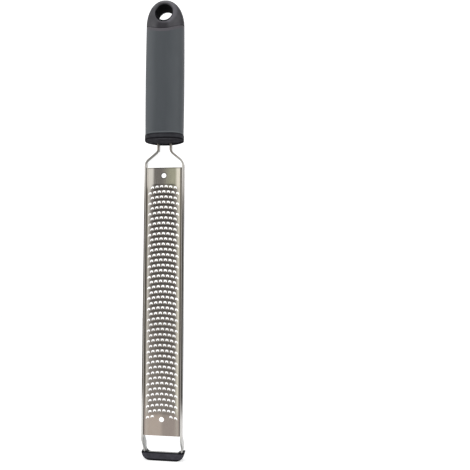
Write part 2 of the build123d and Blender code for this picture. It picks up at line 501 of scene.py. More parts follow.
def opaque(colour: "Value | Colour") -> "Value | tuple[float, ...]":
    """Add full cover to a plain colour; a link passes as it is.

    Args:
        colour: the plain colour or the link.

    Returns:
        What a colour socket takes.
    """
    return colour if isinstance(colour, Value) else (*colour, 1.0)


def tone(code: str) -> Colour:
    """Turn a screen colour into light.

    Args:
        code: six hexadecimal digits.

    Returns:
        Linear red, green and blue.
    """
    parts = [int(code[i : i + 2], 16) / 255 for i in (0, 2, 4)]
    return tuple(p / 12.92 if p <= 0.04045 else ((p + 0.055) / 1.055) ** 2.4 for p in parts)


@dataclass(frozen=True)
class Finish:
    """A procedural finish. A span says where a mask leaves 0 and where it reaches 1, in millimetres."""

    name: str

    def build(self) -> Material:
        """Make the material."""
        recipe = Recipe(bpy.data.materials.new(self.name))
        return recipe.surface(self.paint(recipe))

    def paint(self, recipe: Recipe) -> dict:
        """Paint the surface.

        Args:
            recipe: the empty tree of the material.

        Returns:
            Values or links of the surface's sockets.
        """
        raise NotImplementedError


@dataclass(frozen=True)
class MouldedPlastic(Finish):
    """Hard moulded plastic with a faint grain."""

    colour: Colour = tone("1b1b1d")
    light: Colour = tone("242426")

    def paint(self, recipe: Recipe) -> dict:
        """Mottle the plastic softly."""
        cloud = recipe.noise(6.0)
        grain = recipe.noise(0.25, detail=2.0)
        mottle = (cloud * 0.7 + grain * 0.3).rise(0.35, 0.65)
        return {
            "Base Color": recipe.blend(mottle, self.colour, self.light),
            "Roughness": grain * 0.1 + 0.37,
            "Specular IOR Level": 0.3,
            "Normal": recipe.relief(grain, 0.02, 0.5),
        }


@dataclass(frozen=True)
class CapPlastic(Finish):
    """Satin plastic of the cap, with a painted highlight round the hang hole and painted shade under,
    behind and inside it.
    """

    hole_radius: float
    colour: Colour = tone("515053")
    light: Colour = tone("5c5b5e")
    painted_highlight: Colour = tone("737177")
    shade: Colour = tone("2f2d31")
    bore: Colour = tone("08070c")
    ring_start: Span = (0.3, 1.2)
    ring_end: Span = (4.2, 2.2)
    ring_across: Span = (-5.0, 4.0)
    under_middle: float = -1.0
    under_across: Span = (6.5, 2.0)
    under_height: Span = (-7.0, -9.5)
    behind: Span = (-7.5, -4.0)
    wall: Span = (0.4, 0.1)
    wall_depth: Span = (7.6, 6.2)
    lip: Span = (0.45, 0.1)
    lip_slant: float = 0.16

    def paint(self, recipe: Recipe) -> dict:
        """Paint a highlight on the ring round the hole, and paint shade under it, behind it and inside the
        bore.
        """
        across, depth, height = recipe.place()
        beyond = (across * across + height * height).root() - self.hole_radius
        cloud = recipe.noise(5.0)
        grain = recipe.noise(0.25, detail=2.0)
        colour = recipe.blend(cloud.rise(0.3, 0.7), self.colour, self.light)
        # painted highlight: a lighter ring beside the hang hole, stronger to the right
        ring = beyond.rise(*self.ring_start) * beyond.rise(*self.ring_end)
        colour = recipe.blend(ring * across.rise(*self.ring_across) * 0.8, colour, self.painted_highlight)
        under = abs(across - self.under_middle).rise(*self.under_across) * height.rise(*self.under_height)
        colour = recipe.blend(under * 0.75, colour, self.shade)
        colour = recipe.blend(depth.rise(*self.behind) * 0.8, colour, self.shade)
        # painted shade inside the bore and on the lower lip of the hole
        wall = beyond.rise(*self.wall) * abs(depth).rise(*self.wall_depth)
        inside = (wall + (beyond + height * self.lip_slant).rise(*self.lip)).clamp()
        return {
            "Base Color": recipe.blend(inside, colour, self.bore),
            "Roughness": grain * 0.1 + inside * 0.4 + 0.42,
            "Specular IOR Level": 0.05,
            "Normal": recipe.relief(grain, 0.02, 0.5),
        }


@dataclass(frozen=True)
class RimShadedPlastic(Finish):
    """Dark moulded plastic with painted shade at its rims and its back; what lies far off is left out."""

    colour: Colour
    light: Colour
    rim_shade: Colour
    upper_z: float
    lower_z: float = -FAR
    back_y: float = FAR
    specular: float = 0.05
    upper_rim: Span = (-0.8, -0.4)
    lower_rim: Span = (0.8, 0.4)
    back: Span = (-1.5, 1.0)

    def paint(self, recipe: Recipe) -> dict:
        """Paint shade on the rims and the back."""
        _, depth, height = recipe.place()
        cloud = recipe.noise(5.0, 5.0, 1.5)
        grain = recipe.noise(0.2, detail=2.0)
        colour = recipe.blend(cloud.rise(0.35, 0.65), self.colour, self.light)
        # painted shade at the upper and lower rims and on the back of the dome
        rims = (height - self.upper_z).rise(*self.upper_rim)
        rims = rims + (height - self.lower_z).rise(*self.lower_rim)
        rims = rims + (depth - self.back_y).rise(*self.back)
        return {
            "Base Color": recipe.blend(rims.clamp() * 0.9, colour, self.rim_shade),
            "Roughness": grain * 0.12 + 0.44,
            "Specular IOR Level": self.specular,
            "Normal": recipe.relief(grain, 0.02, 0.5),
        }


@dataclass(frozen=True)
class SoftGrip(Finish):
    """Soft satin layer of the grip, with painted light on its sides so that it is darkest in its middle, a
    lighter band under the seam and a painted highlight on its lower lip.
    """

    top_z: float
    end_z: float
    colour: Colour = tone("484c50")
    light: Colour = tone("5f6366")
    edge: Colour = tone("5b575c")
    lip: Colour = tone("6c7174")
    left: Span = (-4.0, -12.0)
    right: Span = (0.0, 11.0)
    seam_bow: float = 0.021
    band: Span = (-2.7, -2.1)
    score_drop: float = 1.5
    score: Span = (0.35, 0.15)
    lip_rise: Span = (1.5, 0.8)

    def paint(self, recipe: Recipe) -> dict:
        """Paint light on the sides and a highlight on the lower lip, and lighten the band under the seam.
        """
        across, _, height = recipe.place()
        cloud = recipe.noise(7.0, 7.0, 30.0)
        skin = recipe.noise(0.18, detail=2.0)
        # painted light on the sides, the left side most, over a random mottle
        side_light_and_mottle = (cloud - 0.5) * 0.5 + across.rise(*self.left) * 0.9 + across.rise(*self.right) * 0.6
        colour = recipe.blend(side_light_and_mottle, self.colour, self.light)
        dip = height - across * across * self.seam_bow - self.top_z
        colour = recipe.blend(dip.rise(*self.band) * 0.85, colour, self.edge)
        colour = recipe.blend(abs(dip + self.score_drop).rise(*self.score) * 0.35, colour, self.colour)
        # painted highlight along the lower end of the grip
        lip = (height - self.end_z).rise(*self.lip_rise)
        return {
            "Base Color": recipe.blend(lip * 0.7, colour, self.lip),
            "Roughness": cloud * 0.1 + skin * 0.08 + 0.5,
            "Specular IOR Level": 0.25,
            "Sheen Weight": 0.08,
            "Normal": recipe.relief(skin, 0.02, 0.4),
        }


@dataclass(frozen=True)
class StripSteel(Finish):
    """Rolled strip: satin faces, with painted reflection brightening it near the handle and the tip, and
    fine lines along it.
    """

    colour: Colour = tone("736d66")
    bright: Colour = tone("c3c1bd")
    side: Colour = tone("272523")
    dull_shade: Colour = tone("62625f")
    pale_reflection: Colour = tone("f6f6f5")
    tip: Span = (-266.0, -288.0)
    tip_slant: float = 0.3
    shoulder_below: Span = (-140.0, -113.0)
    shoulder_above: Span = (-98.0, -110.0)
    rail: Span = (-125.0, -150.0)
    edge: Span = (13.45, 13.75)
    edge_slant: float = 0.011
    seat: Span = (13.45, 13.1)
    seat_below: Span = (-112.0, -114.0)
    flare_below: Span = (-98.6, -99.8)
    flare_above: Span = (-110.0, -107.5)
    left_leg: Span = (0.0, -2.0)
    flare_slope: float = 0.839
    flare_z: float = -96.13
    under: Span = (0.07, -0.26)
    behind_front: Span = (0.3, 2.0)
    before_back: Span = (5.7, 5.2)
    lean: Span = (-299.5, -302.5)
    inner: Span = (13.1, 12.95)

    def paint(self, recipe: Recipe) -> dict:
        """Paint reflection near the handle and on the tip, shade on the outer edges and the left of the
        flare, light beside the blade and under the flare, and reflection and shade on the leaning tip.
        """
        across, depth, height = recipe.place()
        lines = recipe.noise(0.3, 0.3, 18.0, detail=4.0)
        cloud = recipe.noise(4.0, 4.0, 30.0)
        # painted reflection: brighter towards the leaning tip and on the shoulders, over random streaks
        tip = (height + across * self.tip_slant).rise(*self.tip)
        shoulder = height.rise(*self.shoulder_below) * height.rise(*self.shoulder_above)
        reflection_and_streaks = (tip + shoulder * 0.45 + (lines - 0.5) * 0.4 + (cloud - 0.5) * 0.4).clamp()
        colour = recipe.blend(reflection_and_streaks, self.colour, self.bright)
        # painted shade on the outer edges of the rails
        rail = (1 - tip) * height.rise(*self.rail)
        edge = (abs(across) + across * self.edge_slant).rise(*self.edge)
        colour = recipe.blend(edge * rail * 0.9, colour, self.side)
        # painted light on the rails' front faces beside the blade
        seat = abs(across).rise(*self.seat) * height.rise(*self.seat_below)
        colour = recipe.blend(seat * (tip * 0.2 + 0.6), colour, self.bright)
        # painted shade on the left leg at the flare
        flare = height.rise(*self.flare_below) * height.rise(*self.flare_above)
        colour = recipe.blend(flare * across.rise(*self.left_leg) * 0.7, colour, self.dull_shade)
        # painted highlight on the inner faces under the flare
        under = (height + abs(across) * self.flare_slope - self.flare_z).rise(*self.under)
        painted_highlight = flare * under * depth.rise(*self.behind_front) * depth.rise(*self.before_back)
        colour = recipe.blend(painted_highlight, colour, self.pale_reflection)
        # painted reflection on the leaning tip, and painted shade on its inner edge, which is also made
        # less metallic
        lean = height.rise(*self.lean)
        inner = abs(across).rise(*self.inner) * lean
        colour = recipe.blend(lean * (1 - inner) * 0.25, colour, self.pale_reflection)
        return {
            "Base Color": recipe.blend(inner * 0.95, colour, self.dull_shade),
            "Metallic": lean * (inner - 1) * 0.85 + 1.0,
            "Roughness": lines * 0.16 + 0.22,
            "Normal": recipe.relief(lines, 0.01, 0.35),
        }


@dataclass(frozen=True)
class EtchedSteel(Finish):
    """Bright rolled sheet with painted reflection lightening its sides, whose rows of teeth stand in bands
    of painted shade.
    """

    first_z: float
    last_z: float
    row_pitch: float
    pitch: float
    sag: float
    dot_z: float
    top_z: float
    middle: Colour = tone("67635e")
    web: Colour = tone("78726c")
    warm: Colour = tone("918f7d")
    pale_left: Colour = tone("b3aea6")
    pale_right: Colour = tone("c2bdb0")
    shine_left: Colour = (0.85, 0.82, 0.74)
    shine_right: Colour = (1.0, 0.94, 0.76)
    fold_shade: Colour = tone("5e5951")
    etched: Colour = tone("34312e")
    low_left: Colour = tone("9f9389")
    low_right: Colour = tone("8b817a")
    blank_top: Span = (-3.5, 1.5)
    blank_end: Span = (5.0, -2.0)
    right: Span = (-2.0, 6.0)
    end_right: Span = (-1.5, 1.5)
    pale_half: Span = (-1.0, 1.0)
    side: Span = (8.8, 11.0)
    side_shift: float = 0.7
    side_lift: float = 1.7
    rows_below: Span = (2.4, 0.9)
    rows_above: Span = (-1.2, -0.2)
    left_slant: float = 2.2
    fading: Span = (-140.0, -240.0)
    faint: Span = (-240.0, -292.0)
    band_spread: Span = (-160.0, -130.0)
    spread_gain: float = 1.5
    band_end: Span = (11.5, 7.0)
    dot_ring: Span = (2.7, 1.9)
    top_edge: Span = (-1.1, -0.3)
    low_groove: Span = (-262.0, -292.0)
    outer_fold: Span = (12.2, 12.7)
    left_fold: Span = (-11.0, -11.9)
    right_fold: Span = (11.45, 11.95)

    def bands(self, across: Value, height: Value) -> tuple[Value, Value]:
        """Find the bands of painted shade between the rows, which fade towards the tip.

        Args:
            across: place along X.
            height: place along Z.

        Returns:
            The bands by their shape, and how much of them shows.
        """
        step = across / self.pitch
        rows = (self.first_z - height - step * step * self.sag) / self.row_pitch
        between = abs((rows + 0.5).fraction() - 0.5) * 2
        inside = (height - self.first_z).rise(*self.rows_below)
        inside = inside * (height - self.last_z).rise(*self.rows_above)
        slanted = height + (across - abs(across)) * self.left_slant
        faded = height.rise(*self.fading) * 0.22 + slanted.rise(*self.faint) * 0.62
        spread = abs(across) + height.rise(*self.band_spread) * self.spread_gain
        dull_shade = between.rise(0.4, 0.8) * inside * spread.rise(*self.band_end)
        return dull_shade, dull_shade * (0.92 - faded)

    def paint(self, recipe: Recipe) -> dict:
        """Paint reflection on the blanks and the sides, and painted shade in the bands, round the dot,
        along the top edge and on the folded edges.
        """
        across, _, height = recipe.place()
        lines = recipe.noise(0.35, 0.35, 14.0, detail=4.0)
        cloud = recipe.noise(3.0, 3.0, 9.0)
        dull_shade, shown = self.bands(across, height)
        top = (height - self.first_z).rise(*self.blank_top)
        low = (height - self.last_z).rise(*self.blank_end)
        # painted reflection: the top blank darker in the middle and warmer to the right, the lower blank
        # lighter on the left
        warm = recipe.blend(across.rise(*self.right), self.middle, self.warm)
        colour = recipe.blend(top, self.web, warm)
        blank = recipe.blend(across.rise(*self.end_right), self.low_left, self.low_right)
        colour = recipe.blend(low, colour, blank)
        # painted reflection: lighter sides, brightest beside the top blank
        pale_reflection = recipe.blend(across.rise(*self.pale_half), self.pale_left, self.pale_right)
        shine = recipe.blend(across.rise(*self.pale_half), self.shine_left, self.shine_right)
        pale_reflection = recipe.blend(top * 0.2, pale_reflection, shine)
        side = abs(across - top * self.side_shift) + top * self.side_lift
        colour = recipe.blend(side.rise(*self.side) * (1 - low * 0.75), colour, pale_reflection)
        colour = recipe.blend((lines - 0.5) * 0.5 + (cloud - 0.5) * 0.4, colour, pale_reflection)
        # painted shade in the bands between the rows
        colour = recipe.blend(shown, colour, self.etched)
        # painted shade round the upper dot and along the top edge
        dot = height - self.dot_z
        ring = (across * across + dot * dot).root().rise(*self.dot_ring)
        colour = recipe.blend(ring * 0.7, colour, self.etched)
        colour = recipe.blend((height - self.top_z).rise(*self.top_edge) * 0.55, colour, self.etched)
        # painted shade along the folded edges, with painted reflection on the left fold near the top
        fold = recipe.blend(height.rise(*self.low_groove), self.fold_shade, self.low_right)
        fold = recipe.blend(abs(across).rise(*self.outer_fold) * 0.5, fold, self.low_right)
        left_fold = recipe.blend(top * 0.4, fold, pale_reflection)
        colour = recipe.blend(across.rise(*self.left_fold), colour, left_fold)
        return {
            "Base Color": recipe.blend(across.rise(*self.right_fold), colour, fold),
            "Metallic": 1.0,
            "Roughness": lines * 0.14 + dull_shade * 0.22 + 0.22,
            "Normal": recipe.relief(lines, 0.008, 0.35),
        }


@dataclass(frozen=True)
class FootRubber(Finish):
    """Smooth dark rubber with a dry bloom on its face and painted shade along its edges."""

    lip_z: float
    foot_z: float
    colour: Colour = tone("403f45")
    bloom: Colour = tone("4c4b52")
    edge: Colour = tone("101014")
    upper_edge: Span = (-1.0, -0.5)
    lower_edge: Span = (1.6, 1.1)

    def paint(self, recipe: Recipe) -> dict:
        """Let the bloom show between the painted shade along the edges."""
        _, _, height = recipe.place()
        cloud = recipe.noise(2.5)
        skin = recipe.noise(0.15, detail=2.0)
        colour = recipe.blend(cloud.rise(0.35, 0.7), self.colour, self.bloom)
        # painted shade along the upper and lower edges
        edges = (height - self.lip_z).rise(*self.upper_edge)
        edges = (edges + (height - self.foot_z).rise(*self.lower_edge)).clamp()
        return {
            "Base Color": recipe.blend(edges, colour, self.edge),
            "Roughness": skin * 0.15 + 0.45,
            "Specular IOR Level": 0.1,
            "Normal": recipe.relief(skin, 0.02, 0.4),
        }


def oval(half_width: float, half_depth: float, count: int, fullness: float) -> list[Flat]:
    """Section of the handle, a superellipse.

    Args:
        half_width: half its size along X.
        half_depth: half its size along Y.
        count: number of points.
        fullness: its exponent; 2 is an ellipse.

    Returns:
        Points in order round it.
    """
    points = []
    for step in range(count):
        turn = 2 * math.pi * step / count
        c, s = math.cos(turn), math.sin(turn)
        across = math.copysign(abs(c) ** (2 / fullness), c)
        deep = math.copysign(abs(s) ** (2 / fullness), s)
        points.append((half_width * across, half_depth * deep))
    return points


def ring_at(section: Sequence[Flat], height: Level, lift: float = 0.0) -> list[Point]:
    """Lay a section at a height.

    Args:
        section: its points, round it.
        height: Z, or what gives Z at each place.
        lift: how far above that.

    Returns:
        The ring's points.
    """
    if callable(height):
        return [(x, y, height(x, y) + lift) for x, y in section]
    return [(x, y, height + lift) for x, y in section]


def rounded_line(corners: Sequence[Flat], radii: Sequence[float], steps: int) -> list[Flat]:
    """Points along a line whose inner corners are rounded.

    Args:
        corners: the corners, ends included.
        radii: one radius for each inner corner.
        steps: number of stretches in each round.

    Returns:
        The points from end to end.
    """
    line = [corners[0]]
    for before, corner, after, radius in zip(corners, corners[1:], corners[2:], radii):
        back = (Vector(before) - Vector(corner)).normalized()
        ahead = (Vector(after) - Vector(corner)).normalized()
        half = back.angle(ahead) / 2
        centre = Vector(corner) + (back + ahead).normalized() * (radius / math.sin(half))
        start = Vector(corner) + back * (radius / math.tan(half)) - centre
        turn = math.copysign(math.pi - 2 * half, back.y * ahead.x - back.x * ahead.y)
        for step in range(steps + 1):
            angle = turn * step / steps
            c, s = math.cos(angle), math.sin(angle)
            line.append((centre.x + start.x * c - start.y * s, centre.y + start.x * s + start.y * c))
    return [*line, corners[-1]]


@dataclass
class Handle:
    """The moulded handle: cap with hang hole, soft grip, collar and plug. Sizes in millimetres."""

    half_width: float = 13.75
    half_depth: float = 10.0
    fullness: float = 2.6
    swell: float = 0.25
    core_half_width: float = 11.55
    core_half_depth: float = 7.8
    grip_z: float = -8.9
    grip_end_z: float = -88.5
    cap_top_z: float = 10.1
    cap_fullness_x: float = 2.2
    cap_fullness_y: float = 3.4
    seam_dip: float = 3.9
    spigot_z: float = -18.8
    hole_radius: float = 6.1
    hole_land: float = 9.0
    dish_radius: float = 9.8
    collar_end_z: float = -92.1
    proud: float = 0.3
    plug_end_z: float = -94.4
    plug_rise: float = 1.7
    plug_rim_rise: float = 0.2
    plug_back_y: float = 0.8
    gap: float = 0.1
    dome_shares: tuple[float, ...] = (0.9, 0.75, 0.55, 0.35, 0.18, 0.05)
    seam_edge: tuple[Span, ...] = ((0.45, 0.0), (0.12, 0.12), (0.0, 0.45))
    grip_edge: tuple[Span, ...] = ((0.5, 0.0), (0.15, 0.15), (0.0, 0.5))
    collar_edge: tuple[Span, ...] = ((0.5, 0.0), (0.12, 0.1), (0.0, 0.45), (0.0, 1.8))
    plug_edge: tuple[Span, ...] = ((0.6, 0.0), (0.15, 0.08), (0.0, 0.3))
    dome_edge: tuple[Span, ...] = ((0.0, 0.28), (0.1, 0.06), (0.35, 0.0))
    hole_lip: float = 1.2
    cutter_reach: float = 2.0
    cap_side: float = 0.9
    around: int = 96
    cap_steps: int = 26
    grip_steps: int = 30
    lip_steps: int = 6
    cap_grain: float = 0.28
    cap_passes: int = 4

    def seam(self, across: float, _deep: float = 0.0) -> float:
        """Work out the height of the seam between cap and grip.

        Args:
            across: place along X.
            _deep: place along Y; not used, as the height does not depend on it.

        Returns:
            Z in millimetres.
        """
        radius = (self.half_width**2 + self.seam_dip**2) / (2 * self.seam_dip)
        low = self.grip_z - self.seam_dip
        return low + radius - math.sqrt(max(radius**2 - across**2, 0.0))

    def section(self, shrink: float = 0.0, wide: float = 1.0, deep: float = 1.0) -> list[Flat]:
        """Section of the handle, pulled in or scaled.

        Args:
            shrink: how far it is pulled in, on each side.
            wide: share of the width that is left.
            deep: share of the depth that is left.

        Returns:
            Points round it.
        """
        half_x = (self.half_width - shrink) * wide
        half_y = (self.half_depth - shrink) * deep
        return oval(half_x, half_y, self.around, self.fullness)

    def core_section(self, gap: float = 0.0) -> list[Flat]:
        """Section of the core, or of what goes round it.

        Args:
            gap: the room left round the core.

        Returns:
            Points round it.
        """
        half_x, half_y = self.core_half_width + gap, self.core_half_depth + gap
        return oval(half_x, half_y, self.around, self.fullness)

    def edge_rings(
        self, profile: Sequence[Span], face: Level, up: int = 1, proud: float = 0.0
    ) -> list[list[Point]]:
        """Rings of a rounded edge, in the order of its profile.

        Args:
            profile: how far in and how far from the end face each ring lies.
            face: Z of the end face, or what gives it at each place.
            up: 1 where the piece lies above that face and -1 where it lies below.
            proud: how far the piece stands out of the handle.

        Returns:
            The rings.
        """
        return [ring_at(self.section(inset - proud), face, up * along) for inset, along in profile]

    def build_cap(self) -> Piece:
        """Model the cap with its spigot and its hang hole."""
        core = self.core_section()
        rings = [ring_at(core, self.spigot_z), ring_at(core, self.seam, -self.gap)]
        rings += self.edge_rings(self.seam_edge, self.seam)
        side_z = self.grip_z + self.cap_side
        rings.append(ring_at(self.section(), lambda x, _: (self.seam(x) + side_z) / 2))
        height = self.cap_top_z - self.grip_z
        for step in range(1, self.cap_steps):
            share = math.sin(math.pi / 2 * step / self.cap_steps)
            wide = (1 - share**self.cap_fullness_x) ** (1 / self.cap_fullness_x)
            deep = (1 - share**self.cap_fullness_y) ** (1 / self.cap_fullness_y)
            rings.append(ring_at(self.section(0.0, wide, deep), self.grip_z + height * share))
        piece = loft("hang_cap_shell", rings)
        close_ends(piece)
        cut(piece, self.hole_cutter())
        mould(piece, self.cap_grain, self.cap_passes)
        finish = CapPlastic("cap_plastic", self.hole_radius)
        return finish_piece(piece, "hang_cap", finish.build(), angle=80.0)

    def hole_cutter(self) -> Piece:
        """Model what the hang hole takes away: a bore with rounded lips and shallow dishes."""
        outline = [(self.hole_radius, 0.0)]
        for step in range(self.lip_steps + 1):
            turn = math.pi / 2 * step / self.lip_steps
            out = self.hole_lip * (1 - math.cos(turn))
            back = self.hole_lip * (1 - math.sin(turn))
            outline.append((self.hole_radius + out, self.hole_land - back))
        outline.append((self.dish_radius, self.half_depth))
        outline.append((self.dish_radius, self.half_depth + self.cutter_reach))
        outline = [(r, -y) for r, y in reversed(outline[1:])] + outline
        turns = [2 * math.pi * step / self.around for step in range(self.around)]
        rings = [[(r * math.cos(a), y, r * math.sin(a)) for a in turns] for r, y in outline]
        cutter = loft("hole_cutter", rings)
        close_ends(cutter)
        return cutter

    def build_grip(self) -> Piece:
        """Model the soft grip as a closed sleeve whose upper end follows the seam."""
        end_z = self.grip_end_z
        rings = self.edge_rings(self.grip_edge, end_z)
        for step in range(1, self.grip_steps):
            share = step / self.grip_steps
            fuller = -self.swell * (1 - (2 * share - 1) ** 2)
            section = self.section(fuller)
            rings.append(ring_at(section, lambda x, _: end_z + (self.seam(x) - end_z) * share))
        rings += self.edge_rings(self.seam_edge, self.seam, up=-1)[::-1]
        inner = self.core_section(self.gap)
        rings += [ring_at(inner, self.seam), ring_at(inner, end_z)]
        piece = loft("soft_grip", rings)
        join_first_and_last(piece)
        finish = SoftGrip("grip_skin", self.grip_z - self.seam_dip, end_z)
        return finish_piece(piece, "grip_sleeve", finish.build(), angle=60.0)

    def build_collar(self) -> Piece:
        """Model the collar as a closed ring with rounded edges."""
        top, end = self.grip_end_z, self.collar_end_z
        rings = self.edge_rings(self.collar_edge, end, proud=self.proud)
        rings += self.edge_rings(self.collar_edge, top, up=-1, proud=self.proud)[::-1]
        inner = self.core_section(self.gap)
        rings += [ring_at(inner, top), ring_at(inner, end)]
        piece = loft("dark_collar", rings)
        join_first_and_last(piece)
        colours = tone("313135"), tone("3d3d41"), tone("121216")
        finish = RimShadedPlastic("collar_plastic", *colours, upper_z=top, lower_z=end)
        return finish_piece(piece, "end_collar", finish.build())

    def build_plug(self) -> Piece:
        """Model the domed plug, down to a small flat under its middle."""
        half = self.half_width + self.proud
        radius = (half**2 + self.plug_rise**2) / (2 * self.plug_rise)

        def dome(x: float, y: float) -> float:
            """Height of the dome over a place."""
            return self.plug_end_z + radius - math.sqrt(radius**2 - x**2 - y**2)

        rings = self.edge_rings(self.plug_edge, self.collar_end_z, up=-1, proud=self.proud)
        rings += self.edge_rings(self.dome_edge, dome, proud=self.proud)
        for share in self.dome_shares:
            rings.append(ring_at(self.section(-self.proud, share, share), dome))
        piece = loft("domed_plug", rings)
        close_ends(piece)
        colours = tone("3b3a3e"), tone("464549"), tone("19181a")
        upper_z = self.collar_end_z + self.plug_rim_rise
        back_y = self.plug_back_y
        finish = RimShadedPlastic("plug_plastic", *colours, upper_z=upper_z, back_y=back_y, specular=0.0)
        return finish_piece(piece, "end_plug", finish.build())

    def build(self) -> None:
        """Build the handle's pieces and dress the hidden core."""
        self.build_cap()
        self.build_grip()
        self.build_collar()
        self.build_plug()
        core = frame["nodes"]["handle_core"]
        core.data.materials.clear()
        core.data.materials.append(MouldedPlastic("core_plastic").build())


@dataclass
class StripFrame:
    """The bent strip: two legs, flare, rails and crossbar. Sizes in millimetres."""

    thickness: float = 1.4
    depth: float = 7.0
    front: float = -1.0
    leg_half: float = 4.45
    rail_half: float = 13.6
    leg_top_z: float = -42.4
    neck_z: float = -99.865
    shoulder_z: float = -107.543
    crossbar_z: float = -315.541
    neck_radius: float = 4.0
    shoulder_radius: float = 6.0
    tip_radius: float = 4.6
    setback: float = 8.0
    lean: float = 50.0
    bend_radius: float = 3.0
    bend_z: float = -310.741
    edge_round: float = 0.35
    past_foot_z: float = -FAR
    step_top_z: float = -299.0
    step_pitch: float = 0.5
    step_count: int = 24

    def side_y(self, inset: float, height: float) -> float:
        """Place front to back of a line along the strip.

        Args:
            inset: its distance behind the front edge.
            height: where along the tool.

        Returns:
            Y in millimetres.
        """
        lean = math.radians(self.lean)
        far_z = self.bend_z + inset * math.tan(lean / 2)
        near_z = far_z + self.setback / math.tan(lean)
        near_y = self.front + inset
        far_y = near_y + self.setback
        corners = [(near_y, 0.0), (near_y, near_z), (far_y, far_z), (far_y, self.past_foot_z)]
        line = rounded_line(corners, (self.bend_radius, self.bend_radius), 6)
        for (y0, z0), (y1, z1) in zip(line, line[1:]):
            if z1 <= height <= z0:
                return y0 + (y1 - y0) * (z0 - height) / max(z0 - z1, 1e-9)
        return near_y

    def middle_line(self) -> list[Flat]:
        """Middle line of the strip in X and Z, with extra points where the tip steps back."""
        right = [
            (self.leg_half, self.leg_top_z),
            (self.leg_half, self.neck_z),
            (self.rail_half, self.shoulder_z),
            (self.rail_half, self.crossbar_z),
        ]
        left = [(-x, z) for x, z in reversed(right)]
        bends = [self.neck_radius, self.shoulder_radius, self.tip_radius]
        line = rounded_line(right + left, bends + bends[::-1], 10)
        full = []
        for (x0, z0), (_, z1) in zip(line, line[1:]):
            full.append((x0, z0))
            stops = [self.step_top_z - self.step_pitch * step for step in range(self.step_count)]
            if min(z0, z1) < stops[0] < max(z0, z1):
                stops = stops if z1 < z0 else stops[::-1]
                full += [(x0, z) for z in stops if min(z0, z1) < z < max(z0, z1)]
        return [*full, line[-1]]

    def section(self) -> list[Flat]:
        """Section of the strip with rounded edges: offsets across its thickness and behind its front."""
        points = []
        for side, inset in ((1, 0.0), (1, self.depth), (-1, self.depth), (-1, 0.0)):
            inward = 1 if inset == 0.0 else -1
            corner = []
            for turn in (0.0, math.pi / 4, math.pi / 2):
                across = self.thickness / 2 - self.edge_round * (1 - math.cos(turn))
                back = self.edge_round * (1 - math.sin(turn))
                corner.append((side * across, inset + inward * back))
            points += corner[::-1] if (side > 0) == (inset == 0.0) else corner
        return points

    def build(self) -> Piece:
        """Model the strip as one section drawn along its middle line."""
        line = self.middle_line()
        section = self.section()
        rings = []
        for index, (x, z) in enumerate(line):
            before = Vector(line[max(index - 1, 0)])
            after = Vector(line[min(index + 1, len(line) - 1)])
            along = (after - before).normalized()
            normal = Vector((along.y, -along.x))
            ring = []
            for across, inset in section:
                px, pz = x + normal.x * across, z + normal.y * across
                ring.append((px, self.side_y(inset, pz), pz))
            rings.append(ring)
        piece = loft("bent_strip", rings)
        close_ends(piece)
        return finish_piece(piece, "frame_band", StripSteel("strip_steel").build(), angle=35.0)


